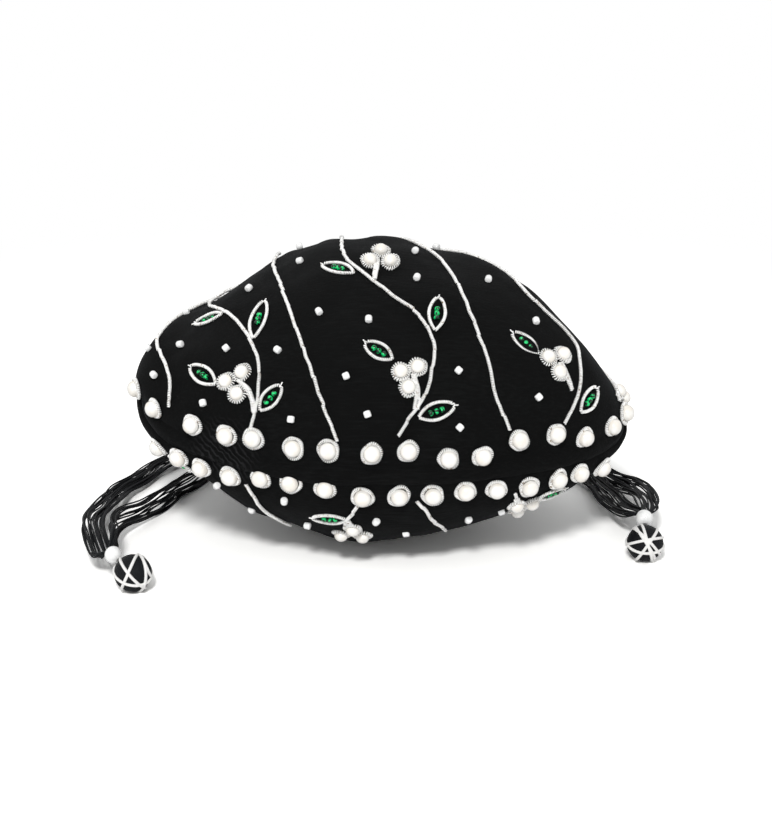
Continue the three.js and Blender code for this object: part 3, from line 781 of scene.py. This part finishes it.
# the last line lies about 7 mm off its solid, and up to 11 mm, to stay behind the outline seen from the front
topLines = [
    [(146, 0.085), (145, 0.168), (150, 0.24), (158, 0.305), (159.5, 0.378), (157, 0.45), (152, 0.54),
     (148, 0.64)],
    [(100, 0.055), (104, 0.173), (106.5, 0.25), (109.5, 0.335), (113, 0.427), (117, 0.525), (118, 0.65)],
    [(61, 0.065), (64, 0.133), (64.5, 0.193), (65, 0.263), (65, 0.325), (64.5, 0.388), (63.5, 0.492),
     (63.5, 0.565), (63, 0.65)],
    [(19.5, 0.12), (18.5, 0.17), (15.5, 0.21), (15.5, 0.26), (18, 0.34), (24, 0.47), (31, 0.64)],
]
topStems = [
    [(120, 0.07), (118.5, 0.113), (117.5, 0.155), (117.5, 0.223), (119.5, 0.265), (124, 0.325),
     (132, 0.39), (139, 0.44), (143, 0.5), (141, 0.57), (137, 0.65)],
    [(86.5, 0.065), (84, 0.098), (80.5, 0.138), (78, 0.188), (76.5, 0.228), (77, 0.26), (78.5, 0.3),
     (83.5, 0.345), (87.5, 0.385), (92, 0.435), (93.5, 0.487), (92, 0.56), (90, 0.65)],
    [(45.5, 0.06), (40.5, 0.122), (37.5, 0.185), (35.5, 0.24), (37, 0.275), (40.5, 0.31), (43, 0.37),
     (40.5, 0.45), (42, 0.49), (44, 0.56), (46, 0.65)],
]
bottomLines = [
    [(238.3, 0.045), (241, 0.11), (243.5, 0.18), (247, 0.233), (250, 0.3)],
    [(264.7, 0.065), (262.5, 0.13), (262.5, 0.17)],
    [(277.5, 0.05), (279.5, 0.083), (281.5, 0.135), (284.5, 0.185), (287, 0.25)],
    [(300.5, 0.07), (302, 0.12), (304, 0.18)],
]
leaves = [
    [(130.5, 0.367), (141.5, 0.372)], [(119, 0.275), (117, 0.372)], [(129, 0.17), (137.5, 0.22)],
    [(117.3, 0.113), (112, 0.168)], [(92, 0.405), (100, 0.448)], [(75.5, 0.265), (72, 0.338)],
    [(86.5, 0.21), (92, 0.242)], [(82, 0.1), (74, 0.12)], [(50.5, 0.212), (55.5, 0.263)],
    [(40, 0.08), (32.5, 0.138)], [(262.5, 0.125), (255, 0.145)], [(308, 0.13), (316, 0.12)],
    [(213.5, 0.11), (222, 0.135)],
]
# a leaf without seeds; it and the last one above have no solid of their own
bareLeaves = [[(14.5, 0.215), (12, 0.14)]]
flowers = [
    {"pearls": [(126, 0.176), (121.6, 0.196), (123, 0.147)],
     "stalk": [(122.6, 0.178), (120.5, 0.162), (118.9, 0.13), (118.7, 0.108)]},
    {"pearls": [(85, 0.186), (81.1, 0.194), (83.7, 0.156)],
     "stalk": [(82.3, 0.18), (81.8, 0.15), (82.3, 0.115)]},
    {"pearls": [(86.7, 0.438), (82.2, 0.474), (81, 0.434)], "stalk": [(84.6, 0.44), (87, 0.386)],
     "tipped": 0.55},
    {"pearls": [(48, 0.203), (42.8, 0.208), (45.7, 0.17)], "stalk": [(44.3, 0.19), (42.6, 0.13)]},
    {"pearls": [(262, 0.215), (266.8, 0.21), (264.2, 0.168)], "stalk": [(264.2, 0.19), (263, 0.13)]},
    {"pearls": [(302, 0.14), (306.5, 0.15), (304, 0.2)], "stalk": [(303, 0.16), (301.4, 0.1)]},
    {"pearls": [(16.8, 0.165), (13, 0.15)], "stalk": [(17.5, 0.17), (19.5, 0.14)]},
]
looseBeads = [
    (107, 0.49), (123, 0.43), (102, 0.318), (154, 0.448), (162, 0.27), (144, 0.295), (126.5, 0.258),
    (112.5, 0.245), (153, 0.175), (97, 0.18), (133, 0.12), (108.5, 0.625), (110, 0.098), (93, 0.107),
    (70.5, 0.49), (53.5, 0.58), (75.5, 0.39), (53, 0.403), (90.5, 0.29), (72, 0.185), (47, 0.285),
    (53, 0.125), (73, 0.077), (230.5, 0.125), (240, 0.215), (248, 0.083), (254, 0.203), (269, 0.125),
    (290.5, 0.17), (276.5, 0.198), (298.5, 0.163),
]


leaf = {
    "width": 5.9, "seed": 2.2, "seedLong": 0.85, "seedPitch": 2.1, "seedLift": 0.45, "seeds": 3,
    "tail": 1.5, "tailLean": 0.5, "slack": 1.15, "baseFullness": 0.85, "tipFullness": 0.5,
}


# the outline of an almond leaf between two places: out along one side, back along the other
def leafFrames(ends, spacing):
    base, tip = [clothFrame(*end)[0] for end in ends]
    middle = ((ends[0][0] + ends[1][0]) / 2, (ends[0][1] + ends[1][1]) / 2)
    point, normal = clothFrame(*middle)
    crown = (point - (base + tip) / 2).dot(normal)
    along = tip - base
    sideways = normal.cross(along).normalized()
    length = along.length
    sideSteps = round(length * leaf["slack"] / spacing)
    outline = []
    for way in (1, -1):
        for i in range(sideSteps):
            share = i / sideSteps if way == 1 else 1 - i / sideSteps
            fullness = lerp(leaf["baseFullness"], leaf["tipFullness"], share)
            out = leaf["width"] / 2 * math.sin(math.pi * share) ** fullness
            height = crown * math.sin(math.pi * share)
            outline.append((base + along * share + sideways * out * way + normal * height, normal))
    return outline, base, along, normal, crown


def makeLeaves():
    routes, seeds = [], []
    spacing = wire["pitch"] / wire["points"]
    for ends in leaves + bareLeaves:
        outline, base, along, normal, crown = leafFrames(ends, spacing)
        routes.append(coilOn(outline, wire["coil"] * wire["leafCoil"], wire["pitch"], spacing, wire["lift"]))
        lean = seeded.uniform(-leaf["tailLean"], leaf["tailLean"])
        tailWay = (along.normalized() + normal.cross(along).normalized() * lean).normalized()
        routes.append([base + along + normal * wire["lift"] + tailWay * leaf["tail"] * share
                       for share in (-0.2, 0.4, 1)])
        for i in range(leaf["seeds"] if ends in leaves else 0):
            off = (i - (leaf["seeds"] - 1) / 2) * leaf["seedPitch"]
            centre = base + along * 0.5 + along.normalized() * off + normal * (crown + leaf["seedLift"])
            seeds.append((centre, along.normalized()))
    return routes, seeds


# a button is a pearl in a ring of coiled wire
button = {
    "pearl": 6.2, "ring": 6.9, "flowerPearl": 5, "flowerRing": 5.9, "squash": 0.8, "lift": 1.7,
    "coil": 0.5, "flowerCoil": 0.6, "wire": 0.27, "pitch": 0.66, "flowerPitch": 0.86, "flowerWire": 0.24,
    "flowerSquash": 0.85, "flowerLift": 1.5, "tippedLift": 1.6, "tips": 0.1, "ringVaries": 0.3,
    "oval": 0.05, "dent": 0.035, "coilVaries": 0.2, "coilSeat": 1.1, "ringTilt": 0.2,
}


def ringRoute(point, normal, across, coil, pitch, lean):
    ahead = normal.orthogonal().normalized()
    sideways = normal.cross(ahead)
    turns = round(math.pi * across / pitch)
    route = []
    count = turns * wire["points"]
    for i in range(count):
        t = 2 * math.pi * i / count
        out = ahead * math.cos(t) + sideways * math.sin(t)
        coiled = t * turns
        reach = across / 2 * (1 + button["oval"] * math.sin(2 * t + lean)
                              + button["dent"] * math.sin(3 * t + 2 * lean))
        reach += coil * math.cos(coiled) * (1 + button["coilVaries"] * math.sin(5 * t + lean))
        rise = coil * button["coilSeat"] + coil * math.sin(coiled) + button["ringTilt"] * math.sin(t + lean)
        route.append(point + out * reach + normal * rise)
    return route


def pearlShape(net, centre, normal, across, segments, rings, squash):
    turn = Vector((0, 0, 1)).rotation_difference(normal).to_matrix().to_4x4()
    place = Matrix.Translation(centre) @ turn @ Matrix.Diagonal((1, 1, squash, 1))
    bmesh.ops.create_uvsphere(net, u_segments=segments, v_segments=rings, radius=across / 2, matrix=place)


def finishShapes(net, name):
    for vert in net.verts:
        vert.co = onFrame(vert.co)
    return meshOf(net, name)


rows = {
    "top": [
        (168, 0.083), (154, 0.05), (137.5, 0.05), (127, 0.043), (119.7, 0.046), (110, 0.035), (102, 0.035),
        (92.5, 0.03), (84.5, 0.035), (75.5, 0.015), (67.5, 0.015), (58.5, 0.04), (48, 0.04), (37.5, 0.018),
        (24.5, 0.03), (15, 0.075),
    ],
    "bottom": [
        (208.5, 0.1), (217, 0.055), (225, 0.045), (233.5, 0.03), (241.5, 0.005), (249, 0.007),
        (257, 0.013), (265.5, 0.035), (273.5, 0.03), (281, 0.033), (288.5, 0.03), (296, 0.037),
        (304.5, 0.05), (313, 0.045), (320.5, 0.048), (330, 0.09),
    ],
}


def makeButtons(row):
    net = bmesh.new()
    routes = []
    tips = button["tips"]
    for place in rows[row]:
        point, normal = clothFrame(*place)
        lean = seeded.uniform(0, 6.3)
        nudge = Vector((seeded.uniform(-tips, tips), 0, seeded.uniform(-tips, tips)))
        tipped = (normal + nudge).normalized()
        pearlShape(net, point + tipped * button["lift"], tipped, button["pearl"], 24, 14, button["squash"])
        across = button["ring"] + seeded.uniform(-button["ringVaries"], button["ringVaries"])
        routes.append(ringRoute(point, tipped, across, button["coil"], button["pitch"], lean))
    nodes = [f"pearl_{row}_{i + 1:02d}" for i in range(len(rows[row]))]
    addPiece(f"pearls_{row}", finishShapes(net, f"pearls_{row}"), "pearl", nodes)
    name = f"pearlRings_{row}"
    addPiece(name, tubesMesh(name, routes, button["wire"], 4, True), "wire", [])


makeButtons("top")
makeButtons("bottom")
print("pearl buttons made")

leafRoutes, seedPlaces = makeLeaves()
stalks = [coilAlong([(degrees + apart, run) for degrees, run in flower["stalk"]])
          for flower in flowers for apart in (-wire["stalkApart"], wire["stalkApart"])]
trimNodes = [f"braid_top_{i}" for i in range(1, 5)] + [f"vine_top_{i}" for i in range(1, 4)]
trimNodes += ["braid_bottom_1"] + [f"vine_bottom_{i}" for i in range(1, 4)]
lineRoutes = [coilAlong(places) for places in topLines + bottomLines]
stemRoutes = [coilAlong(places) for places in topStems]
addPiece("wireLines", tubesMesh("wireLines", lineRoutes, wire["thickness"], 4), "wire", trimNodes)
addPiece("wireVines", tubesMesh("wireVines", stemRoutes + stalks, wire["thickness"], 4), "wire", [])
addPiece("wireLeaves", tubesMesh("wireLeaves", leafRoutes, wire["thickness"], 4), "wire", [])
print("wire embroidery made")


def makeFlowers():
    net = bmesh.new()
    routes = []
    for one in flowers:
        for place in one["pearls"]:
            point, normal = clothFrame(*place)
            facing = (normal + Vector((0, -one.get("tipped", 0), 0))).normalized()
            raised = point + normal * one.get("tipped", 0) * button["tippedLift"]
            pearlShape(net, raised + facing * button["flowerLift"], facing, button["flowerPearl"], 20, 12,
                       button["flowerSquash"])
            lean = seeded.uniform(0, 2 * math.pi)
            routes.append(ringRoute(raised, facing, button["flowerRing"], button["flowerCoil"],
                                    button["flowerPitch"], lean))
    addPiece("flowerPearls", finishShapes(net, "flowerPearls"), "pearl", [])
    rings = tubesMesh("flowerRings", routes, button["flowerWire"], 4, True)
    addPiece("flowerRings", rings, "wire", [])


def makeSeeds():
    net = bmesh.new()
    for centre, way in seedPlaces:
        pearlShape(net, centre, way, leaf["seed"], 14, 8, leaf["seedLong"])
    addPiece("leafSeeds", finishShapes(net, "leafSeeds"), "seed", [])


looseBead = {"radius": 1.35, "length": 2.5, "lift": 0.8, "rounding": 0.6}


def makeLooseBeads():
    net = bmesh.new()
    for place in looseBeads:
        point, normal = clothFrame(*place)
        way = normal.orthogonal().normalized()
        way = Quaternion(normal, seeded.uniform(0, math.pi)) @ way
        turn = Vector((0, 0, 1)).rotation_difference(way).to_matrix().to_4x4()
        made = bmesh.ops.create_cone(
            net, cap_ends=True, segments=14, radius1=looseBead["radius"], radius2=looseBead["radius"],
            depth=looseBead["length"], matrix=Matrix.Translation(point + normal * looseBead["lift"]) @ turn)
        rims = {edge for vert in made["verts"] for edge in vert.link_edges
                if sum(len(face.verts) > 4 for face in edge.link_faces) == 1}
        bmesh.ops.bevel(net, geom=list(rims), offset=looseBead["rounding"], offset_type="OFFSET",
                        affect="EDGES", segments=3, profile=0.5, material=-1)
    addPiece("looseBeads", finishShapes(net, "looseBeads"), "bead", [])


makeFlowers()
makeSeeds()
makeLooseBeads()
print("flowers, seeds and loose beads made")


stitch = {"length": 2.3, "gap": 1.1, "radius": 0.17, "fromEdge": 1.6, "step": 0.55, "above": 0.1,
          "holeAbove": 0.12, "around": 600, "wallOut": 5}


def makeStitches():
    routes = []
    for past in (stitch["fromEdge"], mouth["channelLength"] - stitch["fromEdge"]):
        around = [mouthPoint(2 * math.pi * i / stitch["around"], past, -stitch["above"], mouth["channelBulge"])
                  for i in range(stitch["around"] + 1)]
        spaced = respaced(around, stitch["step"])
        pace = round((stitch["length"] + stitch["gap"]) / stitch["step"])
        for start in range(0, len(spaced) - pace, pace):
            routes.append(spaced[start:start + pace - 1])
    for cord in drawstrings.values():
        for i in range(buttonhole["stitches"]):
            t = 2 * math.pi * i / buttonhole["stitches"]
            ends = []
            for far in (buttonhole["stitchFrom"], buttonhole["stitchTo"]):
                y = cord["y"] + buttonhole["halfWide"] * far * math.cos(t)
                z = mouth["height"] + buttonhole["halfHigh"] * far * math.sin(t)
                lift = (z - mouth["height"]) / (mouth["halfHeight"] + stitch["wallOut"])
                tilt = math.asin(max(-1, min(1, lift)))
                turn = turnOf(tilt if cord["way"] > 0 else math.pi - tilt)
                ends.append(mouthPoint(turn, y - mouth["y"], -stitch["holeAbove"], mouth["channelBulge"]))
            routes.append(ends)
    stitches = tubesMesh("channelStitches", routes, stitch["radius"], 6)
    addPiece("channelStitches", stitches, "thread", [])


makeStitches()
print("stitches made")


paperWhite = {"halfWidth": 4, "seen": (1.6, 1.59, 1.56, 1), "fadeFrom": 0.2, "fadeTo": 0.45, "room": 0.52}
lamps = {"softTop": ((-0.25, 0.15, 1.2), 0.8, 0.9), "softFront": ((-0.1, -1.0, 0.9), 0.18, 10.4)}


def makeFloor():
    net = bmesh.new()
    bmesh.ops.create_grid(net, x_segments=8, y_segments=8, size=paperWhite["halfWidth"])
    floor = linked("floor", meshOf(net, "floor"))
    finish = Finish("paperFloor", {"Specular IOR Level": 0.1, "Roughness": 0.9})
    grain = finish.speckle(finish.place(), 60, 2.0)
    finish.done(colour=finish.mixed(grain, (0.95, 0.95, 0.95, 1), (0.97, 0.97, 0.97, 1)))
    seen = finish.node("ShaderNodeLightPath", {}, {}, "Is Camera Ray")
    bright = finish.node("ShaderNodeBsdfDiffuse", {}, {"Color": paperWhite["seen"]})
    glow = finish.node("ShaderNodeEmission", {}, {"Color": (1, 1, 1, 1)})
    away = finish.node("ShaderNodeVectorMath", {"operation": "LENGTH"}, {0: finish.place()}, 1)
    fade = finish.ramp(away, paperWhite["fadeFrom"], paperWhite["fadeTo"])
    paper = finish.node("ShaderNodeMixShader", {}, {0: fade, 1: bright, 2: glow})
    plain = Socket(finish, finish.shader.outputs[0])
    mixed = finish.node("ShaderNodeMixShader", {}, {0: seen, 1: plain, 2: paper})
    finish.feed(finish.tree.nodes["Material Output"].inputs["Surface"], mixed)
    floor.data.materials.append(finish.material)


def makeLights():
    world = bpy.data.worlds.new("paperWhite")
    bpy.context.scene.world = world
    world.use_nodes = True
    tree = world.node_tree
    room = tree.nodes["Background"]
    room.inputs["Color"].default_value = (0.98, 0.99, 1, 1)
    room.inputs["Strength"].default_value = paperWhite["room"]
    white = tree.nodes.new("ShaderNodeBackground")
    white.inputs["Color"].default_value = (1, 1, 1, 1)
    path = tree.nodes.new("ShaderNodeLightPath")
    rays = path.outputs["Is Camera Ray"]
    for name in ("Is Glossy Ray", "Is Transmission Ray"):
        either = tree.nodes.new("ShaderNodeMath")
        either.operation = "MAXIMUM"
        tree.links.new(rays, either.inputs[0])
        tree.links.new(path.outputs[name], either.inputs[1])
        rays = either.outputs[0]
    mixed = tree.nodes.new("ShaderNodeMixShader")
    tree.links.new(rays, mixed.inputs[0])
    tree.links.new(room.outputs[0], mixed.inputs[1])
    tree.links.new(white.outputs[0], mixed.inputs[2])
    tree.links.new(mixed.outputs[0], tree.nodes["World Output"].inputs["Surface"])
    for name, (place, wide, power) in lamps.items():
        data = bpy.data.lights.new(name, "AREA")
        data.size = wide
        data.energy = power
        lamp = linked(name, data)
        lamp.location = place
        lamp.rotation_euler = (Vector((0, 0, 0.04)) - Vector(place)).to_track_quat("-Z", "Y").to_euler()


makeFloor()
makeLights()
bpy.context.scene.view_settings.view_transform = "Standard"
